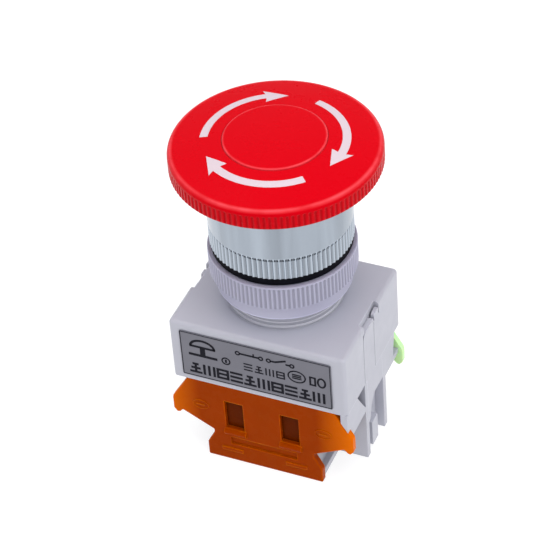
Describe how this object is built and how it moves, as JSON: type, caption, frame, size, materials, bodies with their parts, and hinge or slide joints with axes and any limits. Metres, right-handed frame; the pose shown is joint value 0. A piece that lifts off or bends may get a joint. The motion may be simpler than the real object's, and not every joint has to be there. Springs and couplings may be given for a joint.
{
  "type": "emergency stop button",
  "caption": "Panel-mounted red mushroom stop button with twist release, silver bezel, ribbed panel nut and two screw-terminal contact blocks.",
  "frame": {"origin": "on the button's axis, in the plane of the panel's front face, where the gasket bears", "axes": "+Z out of the panel along the button; -Y towards the label plate and the orange cover; +X to the right of the label"},
  "size_m": [0.04, 0.04, 0.0718],
  "materials": {
    "red_cap": "glossy, slightly pebbled moulding",
    "white_inlay": "satin",
    "bezel_plating": "satin metal plating",
    "gasket_rubber": "dull",
    "nut_plastic": "satin moulding",
    "housing_plastic": "satin moulding",
    "label_foil": "brushed and printed",
    "orange_cover": "translucent, glossy",
    "green_cover": "translucent, glossy",
    "contact_brass": "stamped strip",
    "contact_silver": "riveted silver tip",
    "screw_steel": "zinc plated",
    "spring_steel": "drawn wire",
    "inner_plastic": "natural moulding"
  },
  "bodies": {
    "housing": {"mounting_base": "housing_plastic", "guide_bush": "inner_plastic", "label_plate": "label_foil", "panel_gasket": "gasket_rubber", "bezel_ring": "bezel_plating", "shaft_seal": "gasket_rubber", "latch_sleeve": "inner_plastic", "fixed_contact_tips": "contact_silver", "nc_contact_left": "contact_brass", "nc_contact_right": "contact_brass", "no_contact_left": "contact_brass", "no_contact_right": "contact_brass", "front_contact_block": "housing_plastic", "rear_contact_block": "housing_plastic", "front_cover": "orange_cover", "rear_cover": "green_cover", "support_frame": "housing_plastic", "terminal_screws": "screw_steel", "clamp_washers": "screw_steel", "frame_screws": "screw_steel"},
    "nut_washer": {"slip_washer": "nut_plastic"},
    "nut": {"panel_nut": "nut_plastic"},
    "plunger": {"spindle": "inner_plastic", "latch_spring": "spring_steel", "cap_screw": "screw_steel", "torsion_spring": "spring_steel", "return_spring": "spring_steel", "pusher_yoke": "inner_plastic", "nc_carrier": "inner_plastic", "no_carrier": "inner_plastic", "nc_bridge": "contact_brass", "nc_bridge_tips": "contact_silver", "nc_contact_spring": "spring_steel"},
    "cap": {"mushroom_cap": "red_cap", "cap_arrows": "white_inlay", "centre_plug": "red_cap", "release_cam": "inner_plastic"},
    "open_bridge": {"no_bridge": "contact_brass", "no_bridge_tips": "contact_silver", "no_contact_spring": "spring_steel"},
    "latch_left": {"latch_pin_left": "screw_steel"},
    "latch_right": {"latch_pin_right": "screw_steel"}
  },
  "joints": [
    {"name": "head_press", "type": "slide", "parent": "housing", "child": "plunger", "axis": [0, 0, -1], "range_m": [0, 0.0055], "stiffness_N_per_m": 1500, "springref_m": -0.001, "deforming": ["return_spring", "no_contact_spring"]},
    {"name": "head_twist", "type": "hinge", "parent": "plunger", "child": "cap", "pos_m": [0, 0, 0.02], "axis": [0, 0, -1], "range_deg": [0, 45], "stiffness_Nm_per_rad": 0.05, "springref_deg": -5.73},
    {"name": "nut_travel", "type": "slide", "parent": "housing", "child": "nut_washer", "axis": [0, 0, -1], "range_m": [0, 0.0021]},
    {"name": "nut_turn", "type": "hinge", "parent": "nut_washer", "child": "nut", "pos_m": [0, 0, 0], "axis": [0, 0, -1], "range_deg": [0, 504]},
    {"name": "open_contact_close", "type": "slide", "parent": "housing", "child": "open_bridge", "axis": [0, 0, -1], "range_m": [0, 0.003]},
    {"name": "latch_left_out", "type": "slide", "parent": "plunger", "child": "latch_left", "axis": [-1, 0, 0], "range_m": [0, 0.0008]},
    {"name": "latch_right_out", "type": "slide", "parent": "plunger", "child": "latch_right", "axis": [1, 0, 0], "range_m": [0, 0.0008]}
  ],
  "couplings": [
    {"joint": "nut_travel", "follows": "nut_turn", "m_per_rad": 0.00023873},
    {"joint": "open_contact_close", "follows": "head_press", "ratio": 0.54545},
    {"joint": "latch_left_out", "follows": "head_press", "ratio": 0.14545},
    {"joint": "latch_right_out", "follows": "head_press", "ratio": 0.14545}
  ]
}
